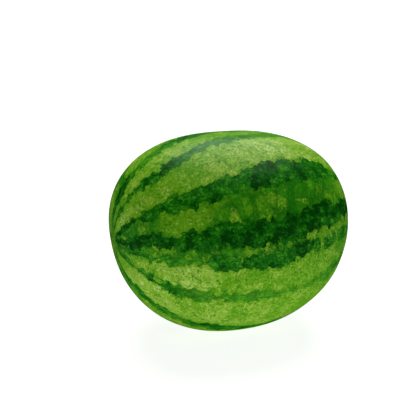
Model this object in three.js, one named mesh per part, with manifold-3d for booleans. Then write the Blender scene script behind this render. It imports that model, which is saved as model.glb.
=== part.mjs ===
// A whole watermelon, lying on its side as picked: one grown piece, so one solid and one mesh.
//
// Millimetres, +Z up. The long axis of the fruit runs along X: the blossom end is at -X and the
// stem end at +X. The origin is under the middle of the fruit, on the surface that it rests on.
//
// The skin is a superellipse turned about the long axis. It has a shallow dimple at the blossom
// end, a basin round a low corky stem scar at the stem end, faint lobes from end to end, slightly
// raised shoulders, and a small spot on the underside that its own weight has pressed flat.

import * as THREE from "three";
import { mergeVertices } from "three/addons/utils/BufferGeometryUtils.js";
import Module from "manifold-3d";

// Overall size of the fruit before its ends are dimpled and its underside is pressed flat.
const LENGTH = 281;
const DIAMETER = 236;

// Form of the body.
const FULLNESS = 2.3; // exponent of the superellipse: 2 is a plain ellipse, more is blockier
const SHOULDER_RISE = 0.025; // share of the radius by which the two upper shoulders are fuller
const LOBES = 10; // lobes round the fruit
const LOBE_RELIEF = 0.5; // height of a lobe above the plain form, at mid length

// Blossom end: a shallow dimple.
const BLOSSOM_DIMPLE_DEPTH = 2.4;
const BLOSSOM_DIMPLE_RADIUS = 15;

// Stem end: a basin with the scar of the cut stem standing in it.
const STEM_BASIN_DEPTH = 6;
const STEM_BASIN_RADIUS = 24;
const STEM_SCAR_RADIUS = 6.5;
const STEM_SCAR_HEIGHT = 3;

// Underside: how far the rest spot is pressed in.
const REST_SPOT_DEPTH = 2;

// Fineness of the mesh.
const SEGMENTS_ROUND = 64;
const STATIONS_ALONG = 40;
const END_CROWDING = 0.8; // 0 spaces the stations evenly, and nearer 1 crowds them to the ends

const half = LENGTH / 2;
const radius = DIAMETER / 2;

// A power that keeps the sign of its base.
const signedPower = (base, power) => Math.sign(base) * Math.abs(base) ** power;

// A bump that is 1 on the axis and fades to nothing a little past its radius.
const bump = (out, reach) => Math.exp(-((out / reach) ** 2));

// 1 on the top of the stem scar, falling to 0 over its rounded edge.
function scarTop(out) {
  const edge = STEM_SCAR_RADIUS * 0.35;
  return 1 - THREE.MathUtils.smoothstep(out, STEM_SCAR_RADIUS - edge, STEM_SCAR_RADIUS + edge);
}

// The half outline from the blossom end to the stem end, as (distance from the axis, place along it).
function outline() {
  const points = [];
  for (let i = 0; i <= STATIONS_ALONG; i++) {
    const t = i / STATIONS_ALONG;
    const turn = Math.PI * (t - (END_CROWDING * Math.sin(2 * Math.PI * t)) / (2 * Math.PI));
    const atEnd = i === 0 || i === STATIONS_ALONG;
    const out = atEnd ? 0 : radius * Math.sin(turn) ** (2 / FULLNESS);
    let along = -half * signedPower(Math.cos(turn), 2 / FULLNESS);
    if (along < 0) {
      along += BLOSSOM_DIMPLE_DEPTH * bump(out, BLOSSOM_DIMPLE_RADIUS);
    } else {
      along -= STEM_BASIN_DEPTH * bump(out, STEM_BASIN_RADIUS);
      along += STEM_SCAR_HEIGHT * scarTop(out);
    }
    points.push(new THREE.Vector2(out, along));
  }
  return points;
}

// Moves a point of the turned body to where the grown fruit has it. The shoulders are a
// three-fold swelling about Y, (3 x^2 z - z^3) on the unit sphere, which also lowers the top
// and the underside a little. The lobes are a cosine round the axis that fades to the ends.
function grow(point) {
  const x = point.x / half;
  const y = point.y / radius;
  const z = point.z / radius;
  const reach = Math.hypot(x, y, z);
  const swelling = SHOULDER_RISE * (3 * x * x * z - z ** 3) / reach ** 3;
  const out = Math.hypot(point.y, point.z);
  const middle = Math.min(1, out / radius) ** 2;
  const lobe = LOBE_RELIEF * middle * Math.cos(LOBES * Math.atan2(point.z, point.y));
  const across = 1 + swelling + (out > 0 ? lobe / out : 0);
  return new THREE.Vector3(point.x * (1 + swelling), point.y * across, point.z * across);
}

// The whole skin as one closed surface, centred in X and Y, its lowest point at -REST_SPOT_DEPTH.
function skin() {
  const turned = new THREE.LatheGeometry(outline(), SEGMENTS_ROUND);
  turned.rotateZ(-Math.PI / 2); // the lathe's axis, +Y, becomes the fruit's long axis, +X
  const places = turned.getAttribute("position");
  for (let i = 0; i < places.count; i++) {
    const grown = grow(new THREE.Vector3().fromBufferAttribute(places, i));
    places.setXYZ(i, grown.x, grown.y, grown.z);
  }
  turned.computeBoundingBox();
  const { min, max } = turned.boundingBox;
  turned.translate(-(min.x + max.x) / 2, -(min.y + max.y) / 2, -min.z - REST_SPOT_DEPTH);
  return turned;
}

// A three.js geometry as a manifold-3d solid.
function solidOf(wasm, geometry) {
  const bare = geometry.clone();
  bare.deleteAttribute("normal");
  bare.deleteAttribute("uv");
  const merged = mergeVertices(bare, 1e-3);
  return new wasm.Manifold(
    new wasm.Mesh({
      numProp: 3,
      vertProperties: merged.getAttribute("position").array,
      triVerts: new Uint32Array(merged.index.array),
    }),
  );
}

// A manifold-3d solid as a three.js geometry.
function geometryOf(solid) {
  const { numProp, numVert, vertProperties, triVerts } = solid.getMesh();
  const places = new Float32Array(numVert * 3);
  for (let i = 0; i < numVert; i++) {
    places.set(vertProperties.subarray(i * numProp, i * numProp + 3), i * 3);
  }
  const geometry = new THREE.BufferGeometry();
  geometry.setAttribute("position", new THREE.BufferAttribute(places, 3));
  geometry.setIndex(new THREE.BufferAttribute(triVerts, 1));
  geometry.computeVertexNormals();
  return geometry;
}

const wasm = await Module();
wasm.setup();

// Everything below the surface that the fruit rests on is cut away, which leaves the flat spot.
const below = new THREE.BoxGeometry(2 * LENGTH, 2 * DIAMETER, DIAMETER);
below.translate(0, 0, -DIAMETER / 2);
const fruit = solidOf(wasm, skin()).subtract(solidOf(wasm, below));

const rind = new THREE.MeshStandardMaterial({ color: 0x4f8a22, roughness: 0.38, metalness: 0 });
const watermelon = new THREE.Mesh(geometryOf(fruit), rind);
watermelon.name = "watermelon";

const group = new THREE.Group();
group.add(watermelon);

export default group;
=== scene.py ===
"""A whole striped watermelon lying on its side on a pale studio floor.

Metres throughout, +Z up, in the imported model's own frame. The fruit's long axis runs along X, with the
blossom end at -X and the stem end at +X.
"""

import math

import bpy
import numpy as np
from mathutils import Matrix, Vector


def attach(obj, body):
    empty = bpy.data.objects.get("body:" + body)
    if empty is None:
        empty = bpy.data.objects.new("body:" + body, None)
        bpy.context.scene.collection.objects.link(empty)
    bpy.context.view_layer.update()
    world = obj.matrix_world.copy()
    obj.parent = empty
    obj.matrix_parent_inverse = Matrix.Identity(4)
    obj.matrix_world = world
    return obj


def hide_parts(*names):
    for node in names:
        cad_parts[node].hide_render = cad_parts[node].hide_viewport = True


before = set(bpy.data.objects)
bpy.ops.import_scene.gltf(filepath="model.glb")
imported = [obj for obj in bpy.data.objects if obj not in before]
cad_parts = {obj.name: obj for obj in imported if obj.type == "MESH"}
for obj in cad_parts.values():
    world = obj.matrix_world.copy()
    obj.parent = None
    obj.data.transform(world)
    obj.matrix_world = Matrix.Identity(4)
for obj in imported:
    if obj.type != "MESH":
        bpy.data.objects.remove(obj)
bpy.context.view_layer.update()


# --- The fruit ---------------------------------------------------------------------------------
# One grown piece: a waxy rind over flesh and seeds. The flower's scar sits in a shallow dimple at
# -X, the corky scar of the cut stem stands in a basin at +X, and the fruit's own weight has pressed
# a small flat spot on its underside.

LENGTH = 0.281  # before the ends are dimpled
DIAMETER = 0.236
FULLNESS = 2.3  # exponent of the superellipse that is turned about the long axis
SHOULDER_RISE = 0.025  # share of the radius by which the two upper shoulders are fuller
LOBES = 10
LOBE_RELIEF = 0.0005
BLOSSOM_DIMPLE_DEPTH = 0.0024
BLOSSOM_DIMPLE_RADIUS = 0.015
STEM_BASIN_DEPTH = 0.006
STEM_BASIN_RADIUS = 0.024
STEM_SCAR_RADIUS = 0.0065
STEM_SCAR_HEIGHT = 0.003
STEM_SCAR_HOLLOW = 0.0011  # how far the middle of the scar has dried in
STEM_SCAR_RIDGES = 11
STEM_SCAR_RIDGE_HEIGHT = 0.0004
REST_SPOT_DEPTH = 0.002
REST_SPOT_BLEND = 0.0005  # height over which the skin rounds into the flat spot

STEPS_ROUND = 384
STEPS_ALONG = 256
END_CROWDING = 0.75  # 0 spaces the rings evenly, and nearer 1 crowds them to the ends

half = LENGTH / 2
radius = DIAMETER / 2


def between(value, low, high):
    """0 below low, 1 above high, and 3t^2 - 2t^3 of the share t in between."""
    share = np.clip((value - low) / (high - low), 0.0, 1.0)
    return share * share * (3.0 - 2.0 * share)


def turned_outline(turn):
    """The half outline: how far the skin is from the long axis, and how far along it.

    A superellipse, out = radius * sin(turn) ^ (2 / fullness) and along = -half * cos(turn) ^
    (2 / fullness) with the sign kept, less a Gaussian dimple at the blossom end, and less a Gaussian
    basin at the stem end with the scar's flat-topped bump standing in it.
    """
    out = radius * np.clip(np.sin(turn), 0.0, 1.0) ** (2.0 / FULLNESS)
    lean = np.cos(turn)
    along = -half * np.sign(lean) * np.abs(lean) ** (2.0 / FULLNESS)
    edge = STEM_SCAR_RADIUS * 0.35
    scar = STEM_SCAR_HEIGHT * (1.0 - between(out, STEM_SCAR_RADIUS - edge, STEM_SCAR_RADIUS + edge))
    dimple = BLOSSOM_DIMPLE_DEPTH * np.exp(-(out / BLOSSOM_DIMPLE_RADIUS) ** 2)
    basin = STEM_BASIN_DEPTH * np.exp(-(out / STEM_BASIN_RADIUS) ** 2)
    return out, along + np.where(along < 0.0, dimple, scar - basin)


def grown(out, along, angle):
    """Where the grown fruit has the point at that distance out, place along and angle from the top.

    The shoulders are a three-fold swelling about Y, (3 x^2 z - z^3) on the unit sphere, times the
    shoulder rise. The lobes are a cosine round the axis, scaled by the square of out / radius.
    """
    across = -out * np.sin(angle)
    up = out * np.cos(angle)
    x, y, z = along / half, across / radius, up / radius
    reach = np.sqrt(x * x + y * y + z * z)
    swelling = 1.0 + SHOULDER_RISE * (3.0 * x * x * z - z ** 3) / reach ** 3
    lobe = LOBE_RELIEF * (out / radius) ** 2 * np.cos(LOBES * (angle + math.pi / 2))
    spread = swelling + lobe / np.maximum(out, 1e-9)
    return np.stack([along * swelling, across * spread, up * spread], axis=-1)


share = np.linspace(0.0, 1.0, STEPS_ALONG + 1)
turn = math.pi * (share - END_CROWDING * np.sin(2.0 * math.pi * share) / (2.0 * math.pi))
angle = np.arange(STEPS_ROUND) * 2.0 * math.pi / STEPS_ROUND  # from the top towards -Y
turn_grid, angle_grid = np.meshgrid(turn, angle, indexing="ij")
out_grid, along_grid = turned_outline(turn_grid)
skin = grown(out_grid, along_grid, angle_grid)

# The skin is centred over the origin and stands on its flat spot, which is softly rounded off.
low_corner, high_corner = skin.reshape(-1, 3).min(0), skin.reshape(-1, 3).max(0)
place = np.array([
    -(low_corner[0] + high_corner[0]) / 2,
    -(low_corner[1] + high_corner[1]) / 2,
    -low_corner[2] - REST_SPOT_DEPTH,
])
skin += place

# The dried scar is hollow in the middle and puckered into ridges that run out to its edge.
on_scar = 1.0 - between(out_grid, 0.7 * STEM_SCAR_RADIUS, 1.1 * STEM_SCAR_RADIUS)
on_scar = np.where(along_grid > 0.0, on_scar, 0.0)
pucker = np.cos(STEM_SCAR_RIDGES * angle_grid + 2.0 * np.sin(3.0 * angle_grid))
pucker *= between(out_grid, 0.2 * STEM_SCAR_RADIUS, 0.5 * STEM_SCAR_RADIUS)
hollow = np.exp(-(out_grid / (0.45 * STEM_SCAR_RADIUS)) ** 2)
skin[..., 0] += on_scar * (STEM_SCAR_RIDGE_HEIGHT * pucker - STEM_SCAR_HOLLOW * hollow)
height = skin[..., 2]
skin[..., 2] = REST_SPOT_BLEND * np.logaddexp(0.0, height / REST_SPOT_BLEND)


# The stripes that lie from the top down the front. Each has its angle from the top, its half width
# and its depth of colour at thirteen stations, evenly turned from the blossom end to the stem end.
# tone is the ground's colour from there to the next stripe, and over the top partly a painted highlight:
# -1 is mid green, 0 yellow green, 1 pale.
# Angles and half widths are in degrees.
STRIPES = [
    dict(
        angle=(10, 12, 11, 6, 0, -5, -9, -12, -14, -15, -14, -12, -10),
        width=(3, 5, 6, 3.5, 4.5, 4.5, 4, 5, 5, 5, 4, 4, 3),
        ink=(.8, .9, .95, .6, .7, .8, .6, .8, .9, .8, .8, .8, .8),
        tone=(-.8, -.3, .3, .5, .6, .3, .3, .4, .4, .5, .5, .2, -.3),
    ),
    # Over the top, at the middle stations, this stripe's ink thins and the ground after it is palest.
    # This is partly the rind's own pale ground and partly a painted highlight where the lamp's sheen
    # falls.
    dict(
        angle=(38, 34, 31, 30, 25, 17, 11, 6, 4, 5, 7, 10, 14),
        width=(3.5, 4, 3.5, 4.5, 3.5, 3.5, 3.5, 3, 3, 3, 4, 3, 3),
        ink=(.9, .85, .8, .8, .72, .65, .6, .5, .5, .6, .6, .6, .6),
        tone=(-.3, .4, .6, .3, .25, .65, .9, 1.0, .9, .5, .4, .2, -.3),
    ),
    dict(
        angle=(66, 61, 56.5, 55.5, 54, 51.5, 45.5, 41.5, 40.5, 36.5, 33, 31, 33),
        width=(2, 3.2, 3.2, 3.6, 4.2, 4.8, 6.4, 7.0, 6.4, 4.8, 5, 4, 3),
        ink=(1.0, 1.0, .9, .78, .76, .82, .88, .92, .86, .75, .75, .8, .8),
        tone=(-.7, -.7, -.5, -.15, .2, -.3, -.65, -.5, -.45, -.1, 0, 0, 0),
    ),
    dict(
        angle=(79, 78, 77.5, 76.6, 77.3, 76, 76.2, 73.5, 70.5, 66, 64.5, 63, 62),
        width=(4, 6, 6.2, 5.4, 4.8, 5.1, 6.0, 7.3, 6.4, 6.8, 6.6, 5, 4),
        ink=(1.1, 1.1, 1.05, .95, .9, 1, 1, 1.05, 1, 1, .95, .9, .9),
        tone=(-.5, -.6, -.7, -.6, -.5, -.3, -.4, .1, .3, .4, .3, .1, 0),
    ),
    dict(
        angle=(88, 89, 89.8, 89.4, 89.4, 91, 90, 87.2, 85.4, 84.2, 83, 82, 82),
        width=(1.5, 2.3, 1.9, 2.1, 1.8, 2.6, 3.1, 3, 2.8, 2.5, 2.5, 2.5, 2),
        ink=(.8, .8, .75, .7, .6, .85, .85, .9, .8, .7, .7, .7, .7),
        tone=(-.6, -.4, .2, .8, 1.0, .5, .3, .4, .1, -.1, .1, .2, -.2),
    ),
    dict(
        angle=(108, 106, 107, 112, 112, 112, 112, 112, 110.5, 109, 107, 106, 105),
        width=(3, 3, 2.5, 4, 3, 2.5, 2, 2, 2.5, 3, 3.5, 3, 3),
        ink=(.8, .75, .7, .75, .6, .55, .5, .4, .5, .6, .65, .6, .6),
        tone=(0, .4, 1.0, .8, .6, .7, .5, .4, .3, 0, .3, .3, -.1),
    ),
    dict(
        angle=(150, 146, 141, 141, 142, 145, 147.5, 147, 145, 144, 142, 140, 140),
        width=(3, 5, 5.5, 4, 3.5, 5.5, 4, 4, 4.5, 5, 4, 4, 3),
        ink=(.7, .75, .75, .7, .65, .85, .8, .8, .8, .8, .7, .7, .7),
        tone=(-.6, -.6, -.3, .2, .3, .2, .1, .3, .4, .5, .4, .2, -.3),
    ),
]
# The rest, across the underside and up the back, wander at random in the same way.
STATIONS = 13
BACK_STRIPES = 7
BACK_FROM = 174.0
BACK_SPACING = 26.0
wander = np.random.default_rng(12)
for number in range(BACK_STRIPES):
    sway = np.cumsum(wander.normal(0.0, 1.3, STATIONS))
    breadth = np.clip(wander.normal(4.6, 1.2, STATIONS), 2.0, 7.5)
    strength = np.clip(wander.normal(0.85, 0.12, STATIONS), 0.5, 1.0)
    paleness = np.clip(wander.normal(0.35, 0.3, STATIONS), -0.6, 0.9)
    STRIPES.append(dict(
        angle=BACK_FROM + number * BACK_SPACING + sway,
        width=breadth * np.sin(np.linspace(0.4, math.pi - 0.4, STATIONS)),  # slimmer to the ends
        ink=strength,
        tone=paleness - np.abs(np.linspace(-1.0, 1.0, STATIONS)) ** 6,  # greener at the very ends
    ))
PINCH = 0.35  # 0 draws the pattern out to points at the ends, and 1 keeps its scale there


def along_stations(values, turn):
    """A Catmull-Rom curve through values at evenly turned stations from end to end."""
    values = np.asarray(values, float)
    padded = np.concatenate([[2 * values[0] - values[1]], values, [2 * values[-1] - values[-2]]])
    spot = np.clip(turn / math.pi, 0.0, 1.0) * (len(values) - 1)
    first = np.minimum(spot.astype(int), len(values) - 2)
    t = spot - first
    a, b, c, d = (padded[first + step] for step in range(4))
    return b + 0.5 * t * (c - a + t * (2 * a - 5 * b + 4 * c - d + t * (3 * (b - c) + d - a)))


def angle_apart(angle, other):
    """The signed angle from other to angle, the short way round."""
    return (angle - other + math.pi) % (2.0 * math.pi) - math.pi


reach_round = radius * (out_grid / radius) ** PINCH
ink_depth = np.full(out_grid.shape, -1.0)
ink = np.zeros(out_grid.shape)
for stripe in STRIPES:
    centre = np.radians(along_stations(stripe["angle"], turn_grid))
    width = np.radians(along_stations(stripe["width"], turn_grid))
    depth = (width - np.abs(angle_apart(angle_grid, centre))) * reach_round
    nearer = depth > ink_depth
    ink_depth = np.where(nearer, depth, ink_depth)
    ink = np.where(nearer, along_stations(stripe["ink"], turn_grid), ink)

# The ground's tone is laid between neighbouring stripes and blended over them.
GROUND_BLEND = 0.45  # share of the gap over which one stretch of ground fades into the next
tone = np.zeros(out_grid.shape)
weight = np.full(out_grid.shape, 1e-6)
for stripe, following in zip(STRIPES, STRIPES[1:] + STRIPES[:1]):
    start = np.radians(along_stations(stripe["angle"], turn_grid))
    end = np.radians(along_stations(following["angle"], turn_grid))
    gap = angle_apart(end, start)
    closeness = np.exp(-(angle_apart(angle_grid, start + gap / 2) / (GROUND_BLEND * gap)) ** 2)
    tone += closeness * along_stations(stripe["tone"], turn_grid)
    weight += closeness
tone /= weight

# Streaks where the pattern draws together at the ends: many waves round the axis, fading inwards.
STREAK_REACH = 0.028
STREAK_TONE = 0.8
STREAK_WAVES = np.arange(17, 62, 4)
phases = wander.uniform(0.0, 2.0 * math.pi, len(STREAK_WAVES))
streaks = np.cos(STREAK_WAVES * angle_grid[..., None] + phases).sum(axis=-1)
streaks /= math.sqrt(len(STREAK_WAVES))
tone += STREAK_TONE * streaks * np.exp(-(out_grid / STREAK_REACH) ** 2)

# The corky scars of the flower and the stem, and the creamy spot that lay on the ground.
BLOSSOM_SCAR_RADIUS = 0.0022
FIELD_SPOT_LENGTH = 0.105
FIELD_SPOT_BREADTH = 0.070
at_stem = along_grid > 0.0
scar_radius = np.where(at_stem, STEM_SCAR_RADIUS, BLOSSOM_SCAR_RADIUS)
corkiness = 1.0 - between(out_grid, 0.8 * scar_radius, 1.3 * scar_radius)
spot_reach = np.hypot(skin[..., 0] / (FIELD_SPOT_LENGTH / 2), skin[..., 1] / (FIELD_SPOT_BREADTH / 2))
field_spot = np.where(skin[..., 2] < radius, 1.0 - spot_reach, -1.0)

# Distance along the skin from the blossom end, for the pattern's chart. It runs slower near the
# ends, which draws the pattern out along the fruit there.
END_CALM = 0.3  # share of their full size that the bays keep at the two ends
END_REACH = 0.5 * radius
liveliness = END_CALM + (1.0 - END_CALM) * between(out_grid, 0.0, END_REACH)
step_lengths = np.hypot(np.diff(out_grid[:, 0]), np.diff(along_grid[:, 0]))
step_lengths *= 0.5 * (liveliness[1:, 0] + liveliness[:-1, 0])
run = np.concatenate([[0.0], np.cumsum(step_lengths)])[:, None] + np.zeros(STEPS_ROUND)
chart = np.stack([reach_round * np.cos(angle_grid), reach_round * np.sin(angle_grid), run], axis=-1)


def ring_mesh(name, rings):
    """A closed mesh from rings of points, the first and last of which are each a single point.

    Quads join neighbouring rings and triangles close the two poles, all facing outwards. It also
    gives the row in the flat list of ring points that each vertex came from.
    """
    count, around = rings.shape[:2]
    kept = np.concatenate([[0], np.arange(around, (count - 1) * around), [(count - 1) * around]])
    inner = 1 + np.arange((count - 2) * around).reshape(count - 2, around)
    turned = np.roll(inner, -1, axis=1)
    quads = np.stack([inner[:-1], turned[:-1], turned[1:], inner[1:]], axis=-1).reshape(-1, 4)
    last = len(kept) - 1
    start_fan = np.stack([np.zeros(around, int), turned[0], inner[0]], axis=-1)
    end_fan = np.stack([np.full(around, last), inner[-1], turned[-1]], axis=-1)
    corners = np.concatenate([quads.ravel(), start_fan.ravel(), end_fan.ravel()]).astype(np.int32)
    sizes = np.concatenate([np.full(len(quads), 4), np.full(2 * around, 3)]).astype(np.int32)
    points = rings.reshape(-1, 3)[kept]
    mesh = bpy.data.meshes.new(name)
    mesh.vertices.add(len(points))
    mesh.vertices.foreach_set("co", points.astype(np.float32).ravel())
    mesh.loops.add(len(corners))
    mesh.loops.foreach_set("vertex_index", corners)
    mesh.polygons.add(len(sizes))
    mesh.polygons.foreach_set("loop_start", np.concatenate([[0], np.cumsum(sizes)[:-1]]).astype(np.int32))
    mesh.polygons.foreach_set("use_smooth", np.ones(len(sizes), bool))
    mesh.update(calc_edges=True)
    mesh.validate()
    return mesh, kept


melon_mesh, kept = ring_mesh("whole_watermelon", skin)
fields = {
    "ink_depth": ink_depth,
    "ink": ink,
    "tone": tone,
    "corkiness": corkiness,
    "field_spot": field_spot,
    "liveliness": liveliness,
}
for name, field in fields.items():
    layer = melon_mesh.attributes.new(name, "FLOAT", "POINT")
    layer.data.foreach_set("value", field.ravel()[kept].astype(np.float32))
layer = melon_mesh.attributes.new("chart", "FLOAT_VECTOR", "POINT")
layer.data.foreach_set("vector", chart.reshape(-1, 3)[kept].astype(np.float32).ravel())
melon = bpy.data.objects.new("whole_watermelon", melon_mesh)
bpy.context.scene.collection.objects.link(melon)


def paint(hex_code):
    """A colour written as RRGGBB, as the linear colour that a shader takes."""
    shares = [int(hex_code[i:i + 2], 16) / 255 for i in (0, 2, 4)]
    linear = [s / 12.92 if s <= 0.04045 else ((s + 0.055) / 1.055) ** 2.4 for s in shares]
    return (*linear, 1.0)


class Strand:
    """One output in a material. Arithmetic on strands adds the Math nodes that work it out."""

    def __init__(self, tree, socket):
        self.tree = tree
        self.socket = socket

    def node(self, kind, settings=None, inputs=None, output=0):
        """Adds a node, sets its settings and then its inputs, and gives one of its outputs."""
        made = self.tree.nodes.new(kind)
        for name, value in (settings or {}).items():
            setattr(made, name, value)
        for name, value in (inputs or {}).items():
            if isinstance(value, Strand):
                self.tree.links.new(value.socket, made.inputs[name])
            else:
                made.inputs[name].default_value = value
        return Strand(self.tree, made.outputs[output])

    def attribute(self, name, output="Fac"):
        """A value kept at the mesh's vertices."""
        return self.node("ShaderNodeAttribute", {"attribute_name": name}, output=output)

    def math(self, operation, first, second=0.0):
        """One Math node on two values."""
        return self.node("ShaderNodeMath", {"operation": operation}, {0: first, 1: second})

    def __add__(self, other):
        return self.math("ADD", self, other)

    def __radd__(self, other):
        return self.math("ADD", other, self)

    def __sub__(self, other):
        return self.math("SUBTRACT", self, other)

    def __rsub__(self, other):
        return self.math("SUBTRACT", other, self)

    def __mul__(self, other):
        return self.math("MULTIPLY", self, other)

    def __rmul__(self, other):
        return self.math("MULTIPLY", other, self)

    def __abs__(self):
        return self.math("ABSOLUTE", self)

    def least(self, other):
        return self.math("MINIMUM", self, other)

    def most(self, other):
        return self.math("MAXIMUM", self, other)

    def rise(self, low, high):
        """0 where the value is below low, 1 above high, and smooth in between."""
        return self.node("ShaderNodeMapRange", {"interpolation_type": "SMOOTHSTEP"},
                         {"Value": self, "From Min": low, "From Max": high})

    def stretched(self, scale):
        """A vector times another, part by part."""
        return self.node("ShaderNodeVectorMath", {"operation": "MULTIPLY"}, {0: self, 1: scale})

    def moved(self, other):
        """A vector plus another."""
        return self.node("ShaderNodeVectorMath", {"operation": "ADD"}, {0: self, 1: other})

    def blend(self, colour, other, amount):
        """One colour mixed with another by amount."""
        return self.node("ShaderNodeMix", {"data_type": "RGBA"}, {0: amount, 6: colour, 7: other}, 2)

    def part(self, index):
        """One channel of a colour."""
        return self.node("ShaderNodeSeparateColor", {}, {0: self}, index)

    def twin(self, output):
        """Another output of the same node."""
        return Strand(self.tree, self.socket.node.outputs[output])

    def noise(self, size, detail=2.0, rough=0.5, output="Fac"):
        """Soft noise, 0 to 1, whose lumps are about size millimetres across."""
        return self.node("ShaderNodeTexNoise", {}, {
            "Vector": self, "Scale": 1.0 / size, "Detail": detail, "Roughness": rough}, output)

    def cells(self, size, feature="F1"):
        """Cells about size millimetres across, as the distance from each centre in cell sizes."""
        return self.node("ShaderNodeTexVoronoi", {"feature": feature}, {
            "Vector": self, "Scale": 1.0 / size}, "Distance")


def new_material(name):
    """A new material, its node tree and its surface shader."""
    material = bpy.data.materials.new(name)
    material.use_nodes = True
    tree = material.node_tree
    shader = tree.nodes["Principled BSDF"]
    return material, tree, shader


# Rind finish: waxy skin. Rounded bays of the ground bite into the dark stripes and leave teeth
# between them. The stripes hold paler cells with dark lines round them, and darker cores. The
# ground runs from deep green through yellow green to pale, and carries fine specks.
RIND_CORE = paint("034403")
RIND_STRIPE = paint("147208")
RIND_STRIPE_CELL = paint("46a01c")
RIND_DEEP = paint("1e7b0a")
RIND_FRINGE = paint("36910f")
RIND_GROUND = paint("68ac14")
RIND_PALE = paint("90c038")
RIND_PALEST = paint("bce272")
RIND_SPECK = paint("3f8a0c")
FIELD_CREAM = paint("dcd497")
FIELD_YELLOW = paint("c2bd4e")
CORK_BROWN = paint("8a6b3e")
CORK_PALE = paint("b59a6a")
CORK_DARK = paint("4c3820")

# Sizes and depths of the rind's markings, in millimetres.
MM = 1000.0  # millimetres in a metre
SHAKE_SIZE = 6.0
SHAKE_REACH = 7.0
DRIFT_SIZE = 34.0
DRIFT_DEPTH = 8.0
WIDE_BAY_SIZE = 14.0
WIDE_BAY_DEPTH = 16.0
BAY_SIZE = 7.5
BAY_DEPTH = 7.0
SMALL_BAY_SIZE = 4.0
SMALL_BAY_DEPTH = 4.5
DEEPEST_BITE = 8.0  # at the edge of a stripe, and more further in
CRUMBLE_SIZE = 3.4
CRUMBLE_DEPTH = 6.0
EDGE_SETBACK = 5.7  # makes up for what the bays bite away
LOBE_SIZE = 13.0
PATCH_SIZE = 17.0
MOTTLE_SIZE = 5.0
COMB_SIZE = 2.6
GRAIN_SIZE = 2.7
SPECK_SIZE = 3.8
SPECK_CLUSTER_SIZE = 15.0
CELL_SIZE = 5.5
FLECK_SIZE = 2.8
FLECK_CLUSTER_SIZE = 8.0
CLOUD_SIZE = 14.0
WISP_SIZE = 4.5
STROKE_SIZE = 9.0
SPOT_EDGE_SIZE = 24.0
SPOT_FRAY_SIZE = 7.0
CORK_GRAIN_SIZE = 1.1
CORK_RING_TURN = 3.2  # radians of the ring wave in a millimetre
GLOSS_PATCH_SIZE = 6.0
PORE_SIZE = 3.0
SWELL_SIZE = 25.0

# Gloss and relief of the skin.
RIND_ROUGHNESS = 0.38
RIND_SPECULAR = 0.06
BUMP_STRENGTH = 0.3
BUMP_HEIGHT = 0.0006  # in metres

rind, tree, shader = new_material("waxy_striped_rind")
begin = Strand(tree, None)
to_mm = (MM, MM, MM)
chart_mm = begin.attribute("chart", "Vector").stretched(to_mm)
depth = begin.attribute("ink_depth") * MM
ink_here = begin.attribute("ink")
# tone carries the ground's colour, and over the top partly a painted highlight.
tone_here = begin.attribute("tone")
cork_here = begin.attribute("corkiness")
lively = begin.attribute("liveliness")
spot_here = begin.attribute("field_spot")
object_mm = begin.node("ShaderNodeTexCoord", output="Object").stretched(to_mm)

# The chart is shaken a little, so that no edge or cell is straight, and drawn out round the fruit.
shake = chart_mm.noise(SHAKE_SIZE, 3.0, 0.65, "Color").moved((-0.5, -0.5, -0.5))
shaken = chart_mm.moved(shake.stretched((SHAKE_REACH, SHAKE_REACH, SHAKE_REACH)))
drawn_out = shaken.stretched((0.6, 0.6, 1.0))

# How far inside a stripe the point lies, in millimetres, after the bays have bitten in.
drift = (chart_mm.noise(DRIFT_SIZE, 1.0) - 0.5) * DRIFT_DEPTH
wide_bays = drawn_out.cells(WIDE_BAY_SIZE)
wide_bay_depth = (1.0 - wide_bays * 1.35) * (wide_bays.twin("Color").part(2) * WIDE_BAY_DEPTH + 1.0)
bays = drawn_out.cells(BAY_SIZE)
bay_depth = (1.0 - bays * 1.3) * (bays.twin("Color").part(0) * BAY_DEPTH + 2.0)
small_bays = drawn_out.cells(SMALL_BAY_SIZE)
small_bay_depth = (1.0 - small_bays * 1.3) * small_bays.twin("Color").part(1) * SMALL_BAY_DEPTH
crumble = (shaken.noise(CRUMBLE_SIZE, 3.0, 0.7) - 0.5) * CRUMBLE_DEPTH
bitten = (wide_bay_depth + bay_depth + small_bay_depth).least(depth * 0.4 + DEEPEST_BITE)
edge = depth + (EDGE_SETBACK + drift - bitten + crumble) * lively
in_stripe = edge.rise(-0.4, 0.6)

# The ground. ground_tone is -1.7 for deep green, -0.8 for mid green, 0 for yellow green, 0.85 for
# pale and 1.6 for palest. Where it is green, lobes stand out between dark clefts, with fine combing
# round the fruit.
lobes = drawn_out.cells(LOBE_SIZE)
lobe_tint = lobes.twin("Color").part(0) - 0.45
greenness = (0.3 - tone_here).rise(0.0, 1.0)
clefts = (lobes + (shaken.noise(MOTTLE_SIZE, 2.0) - 0.5) * 0.3).rise(0.42, 0.62) * greenness
patches = (shaken.noise(PATCH_SIZE, 5.0, 0.65) - 0.5) * 2.6
mottle = (shaken.noise(MOTTLE_SIZE, 4.0, 0.75) - 0.5) * 2.2
combed = shaken.stretched((0.5, 0.5, 1.2)).noise(COMB_SIZE, 3.0, 0.75) - 0.5
beside = (edge + 5.0 - bay_depth * 0.8).rise(-1.0, 3.0)
ground_tone = tone_here + lobe_tint * (greenness * 2.0 + 0.4) + patches * (1.0 - greenness * 0.6) + mottle
ground_tone = (ground_tone - beside * 0.5).most(mottle * 0.6 - 1.2) + combed * greenness * 2.4
ground = begin.blend(RIND_DEEP, RIND_FRINGE, ground_tone.rise(-1.7, -0.8))
ground = begin.blend(ground, RIND_GROUND, ground_tone.rise(-0.9, 0.0))
ground = begin.blend(ground, RIND_PALE, ground_tone.rise(0.25, 0.85))
ground = begin.blend(ground, RIND_PALEST, ground_tone.rise(0.9, 1.6))
grain = shaken.noise(GRAIN_SIZE, 3.0, 0.75)
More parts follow.
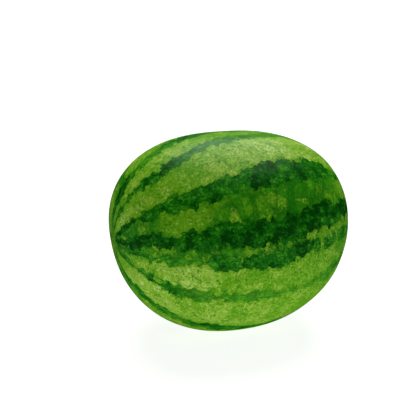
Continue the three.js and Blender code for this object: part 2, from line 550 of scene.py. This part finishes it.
speckled = chart_mm.noise(SPECK_CLUSTER_SIZE, 2.0).rise(0.4, 0.58) * 0.85 + 0.15
specks = (1.0 - drawn_out.cells(SPECK_SIZE)).rise(0.52, 0.85) * speckled
speck_mix = (specks * 0.6 + grain.rise(0.5, 0.64) * (speckled * 0.6 + 0.2)).least(0.9)
ground = begin.blend(ground, RIND_SPECK, speck_mix)
green_specks = (specks * 0.8 + grain.rise(0.5, 0.62) * 0.6).least(1.0) * greenness
ground = begin.blend(ground, RIND_STRIPE, (clefts * (0.8 - combed * 1.5)).most(green_specks * 0.55))
glint_mix = (1.0 - grain).rise(0.54, 0.7) * (ground_tone + 0.8).rise(0.0, 1.5) * 0.45
ground = begin.blend(ground, RIND_PALEST, glint_mix)

# The stripes. shade is 0.5 for the palest cell, 0.9 for plain stripe and 1.2 for the darkest core.
rim = 1.0 - edge.rise(0.8, 3.0)
cell_walls = 1.0 - shaken.cells(CELL_SIZE, "DISTANCE_TO_EDGE").rise(0.04, 0.3)
fleck_patches = chart_mm.noise(FLECK_CLUSTER_SIZE, 2.0).rise(0.4, 0.6)
flecks = shaken.noise(FLECK_SIZE, 3.0, 0.75).rise(0.52, 0.68) * (fleck_patches * 0.7 + 0.3)
clouds = (chart_mm.noise(CLOUD_SIZE, 3.0, 0.6) - 0.5) * 1.9
clouds = clouds + (shaken.noise(WISP_SIZE, 3.0, 0.7) - 0.5) * 0.9
run_along = shaken.stretched((1.0, 1.0, 0.4))
strokes = (1.0 - abs(run_along.noise(STROKE_SIZE, 3.0, 0.6) - 0.5) * 15.0).rise(0.1, 0.8)
shade = ink_here + (cell_walls - 0.4) * 0.2 + clouds - flecks * 0.42
shade = shade.most(strokes.most(rim) * 0.76 + ink_here * 0.25)
stripe = begin.blend(RIND_STRIPE_CELL, RIND_STRIPE, shade.rise(0.5, 0.9))
stripe = begin.blend(stripe, RIND_CORE, shade.rise(0.85, 1.2))
colour = begin.blend(ground, stripe, in_stripe * (ink_here * 1.1 + 0.2).least(1.0))
colour = colour.stretched(1.0 - (grain - 0.48) * (1.5 - ground_tone.rise(0.2, 1.2) * 0.5))

# The creamy field spot underneath, and the two corky scars.
spot_wander = (object_mm.noise(SPOT_EDGE_SIZE, 3.0, 0.6) - 0.5) * 2.6
spot_wander = spot_wander + (object_mm.noise(SPOT_FRAY_SIZE, 3.0, 0.7) - 0.5) * 1.4
spot_mix = (spot_here * 2.2 + spot_wander).rise(-0.3, 1.1)
spot_colour = begin.blend(FIELD_YELLOW, FIELD_CREAM, (spot_mix + (grain - 0.5) * 1.2).rise(0.45, 1.0))
colour = begin.blend(colour, spot_colour, (spot_mix * (1.5 - grain * 0.8)).least(0.9))
cork_grain = object_mm.noise(CORK_GRAIN_SIZE, 4.0, 0.7)
from_axis = begin.node("ShaderNodeMapping", {}, {
    "Vector": object_mm, "Location": (0.0, 0.0, -MM * place[2])})
from_axis = from_axis.stretched((0.0, 1.0, 1.0))
from_axis = begin.node("ShaderNodeVectorMath", {"operation": "LENGTH"}, {0: from_axis}, "Value")
rings = begin.math("SINE", from_axis * CORK_RING_TURN + cork_grain * 5.0) * 0.5 + 0.5
cork_paleness = (rings * 0.5 + cork_grain.rise(0.35, 0.7) * 0.6).least(1.0)
cork_colour = begin.blend(CORK_BROWN, CORK_PALE, cork_paleness)
cork_colour = begin.blend(CORK_DARK, cork_colour, (from_axis + cork_grain * 2.0).rise(1.2, 3.2))
cork_edge = cork_here + (cork_grain - 0.5) * 0.5
cork_colour = begin.blend(CORK_DARK, cork_colour, cork_edge.rise(0.4, 0.8) * 0.6 + 0.4)
colour = begin.blend(colour, cork_colour, cork_edge.rise(0.38, 0.52))

tree.links.new(colour.socket, shader.inputs["Base Color"])
rough = RIND_ROUGHNESS + (chart_mm.noise(GLOSS_PATCH_SIZE, 3.0) - 0.5) * 0.14 + cork_here * 0.5
tree.links.new(rough.socket, shader.inputs["Roughness"])
shader.inputs["Specular IOR Level"].default_value = RIND_SPECULAR
skin_height = shaken.noise(PORE_SIZE, 3.0, 0.6) * 0.4 + in_stripe * 0.2
skin_height = skin_height + chart_mm.noise(SWELL_SIZE, 1.0) * 2.0 + cork_grain * cork_here * 2.0
bump = begin.node("ShaderNodeBump", {}, {
    "Strength": BUMP_STRENGTH, "Distance": BUMP_HEIGHT, "Height": skin_height})
tree.links.new(bump.socket, shader.inputs["Normal"])

melon_mesh.materials.append(rind)
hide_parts("watermelon")
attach(melon, "root")


# --- Floor --------------------------------------------------------------------------------------
# A plain white light table, lit softly from beneath, level where the fruit rests.
FLOOR_SIZE = 400.0
FLOOR_GLOW = 0.9
FLOOR_GREY = (0.3, 0.3, 0.3, 1.0)
FLOOR_ROUGHNESS = 0.9
floor_mesh = bpy.data.meshes.new("studio_floor")
reach = FLOOR_SIZE / 2
floor_mesh.from_pydata([(-reach, -reach, 0), (reach, -reach, 0), (reach, reach, 0), (-reach, reach, 0)],
                       [], [(0, 1, 2, 3)])
floor = bpy.data.objects.new("studio_floor", floor_mesh)
bpy.context.scene.collection.objects.link(floor)
floor_paint, _, floor_shader = new_material("matt_white_floor")
floor_shader.inputs["Base Color"].default_value = FLOOR_GREY
floor_shader.inputs["Roughness"].default_value = FLOOR_ROUGHNESS
floor_shader.inputs["Emission Color"].default_value = paint("ffffff")
floor_shader.inputs["Emission Strength"].default_value = FLOOR_GLOW
floor_mesh.materials.append(floor_paint)
floor.visible_glossy = False  # the fruit's sheen shows only the lamp


# --- Camera -------------------------------------------------------------------------------------
# A long lens, level, looking down a little at the fruit with its blossom end turned nearer.
CAMERA_TURN = math.radians(-20.0)  # from straight across the fruit, towards its blossom end
CAMERA_RISE = math.radians(17.0)
CAMERA_VIEW = math.radians(30.0)
CAMERA_DISTANCE = 7.93 * radius
AIM_RIGHT = 0.088  # where the fruit's middle stands in the frame, in half frames from its centre
AIM_DOWN = 0.086
AIM_ROUNDS = 6  # rounds in which the aim settles

fruit_middle = Vector(place.tolist())
back = Vector((
    math.sin(CAMERA_TURN) * math.cos(CAMERA_RISE),
    -math.cos(CAMERA_TURN) * math.cos(CAMERA_RISE),
    math.sin(CAMERA_RISE),
))
aim = -back
for step in range(AIM_ROUNDS):
    right = aim.cross(Vector((0, 0, 1))).normalized()
    up = right.cross(aim).normalized()
    slope_right = -back.dot(right) / -back.dot(aim)
    slope_up = -back.dot(up) / -back.dot(aim)
    aim = aim + right * (slope_right - AIM_RIGHT * math.tan(CAMERA_VIEW / 2))
    aim = (aim + up * (slope_up + AIM_DOWN * math.tan(CAMERA_VIEW / 2))).normalized()
lens = bpy.data.cameras.new("studio_camera")
lens.angle = CAMERA_VIEW
lens.clip_start = 0.01
camera = bpy.data.objects.new("studio_camera", lens)
camera.location = fruit_middle + back * CAMERA_DISTANCE
camera.rotation_euler = aim.to_track_quat("-Z", "Y").to_euler()
bpy.context.scene.collection.objects.link(camera)
bpy.context.scene.camera = camera


# --- Light --------------------------------------------------------------------------------------
# Plain soft studio light: one very broad lamp above and behind the fruit, and dim pale
# surroundings. The glow of the floor lights the fruit's front and underside.
KEY_TURN = math.radians(158.0)  # from in front of the fruit, round towards its stem end
KEY_RISE = math.radians(60.0)
KEY_STRENGTH = 3.3
KEY_SPREAD = math.radians(50.0)
ROOM_STRENGTH = 0.12

key = bpy.data.lights.new("broad_key_light", "SUN")
key.energy = KEY_STRENGTH
key.angle = KEY_SPREAD
key_light = bpy.data.objects.new("broad_key_light", key)
key_from = Vector((
    math.sin(KEY_TURN) * math.cos(KEY_RISE),
    -math.cos(KEY_TURN) * math.cos(KEY_RISE),
    math.sin(KEY_RISE),
))
key_light.rotation_euler = key_from.to_track_quat("Z", "Y").to_euler()
bpy.context.scene.collection.objects.link(key_light)
world = bpy.data.worlds.new("pale_surroundings")
world.use_nodes = True
world.cycles_visibility.glossy = False
room = Strand(world.node_tree, None)
seen = room.node("ShaderNodeLightPath", output="Is Camera Ray")  # what is seen of them is white
strength = seen * (1.0 - ROOM_STRENGTH) + ROOM_STRENGTH
background = world.node_tree.nodes["Background"]
background.inputs["Color"].default_value = paint("ffffff")
world.node_tree.links.new(strength.socket, background.inputs["Strength"])
bpy.context.scene.world = world
bpy.context.scene.view_settings.view_transform = "Standard"
